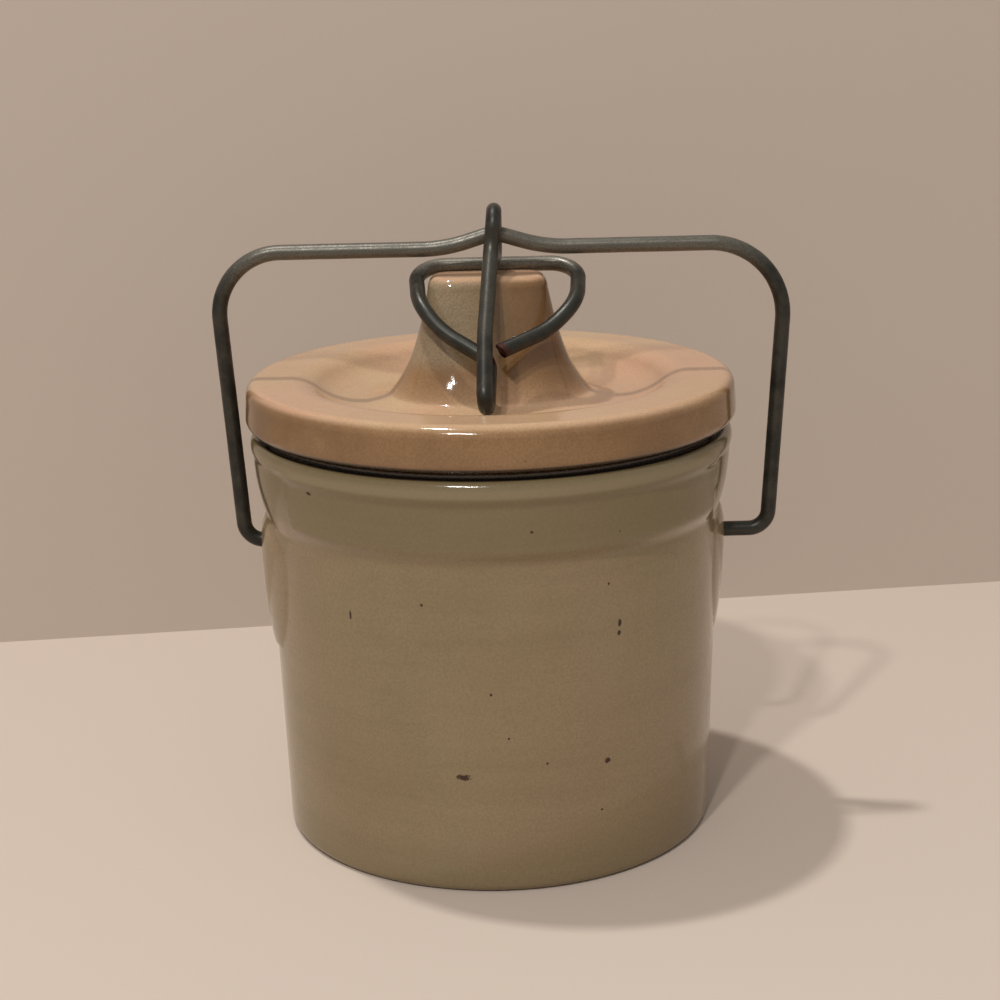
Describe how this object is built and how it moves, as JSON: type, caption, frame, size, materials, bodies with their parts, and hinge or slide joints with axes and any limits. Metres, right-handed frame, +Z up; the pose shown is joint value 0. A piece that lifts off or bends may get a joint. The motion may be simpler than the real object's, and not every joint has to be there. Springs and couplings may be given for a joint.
{
  "type": "cheese crock",
  "caption": "Shut stoneware cheese crock with a dished lid and blade knob, a wire bail handle pivoting in side ears, and a wire toggle clamp that locks over the knob.",
  "frame": {"origin": "centre of the crock's flat underside, on the crock's axis", "axes": "+Z up along the crock's axis, the bail spans X, the clamp's front strand and foot point to -Y"},
  "size_m": [0.1339, 0.1144, 0.1473],
  "materials": {
    "crock_glaze": "gloss",
    "lid_glaze": "gloss",
    "wire": "satin"
  },
  "bodies": {
    "pot": {"crock": "crock_glaze", "lid": "lid_glaze"},
    "handle": {"bail": "wire"},
    "toggle": {"clamp": "wire"}
  },
  "joints": [
    {"name": "bail_swing", "type": "hinge", "parent": "pot", "child": "handle", "pos_m": [0, 0, 0.0686], "axis": [-1, 0, 0], "range_deg": [0, 45]},
    {"name": "clamp_swing", "type": "hinge", "parent": "handle", "child": "toggle", "pos_m": [0.0018, 0, 0.14009], "axis": [-1, 0, 0], "range_deg": [0, 126]}
  ],
  "couplings": [
    {"joint": "clamp_swing", "follows": "bail_swing", "ratio": 2.8}
  ]
}
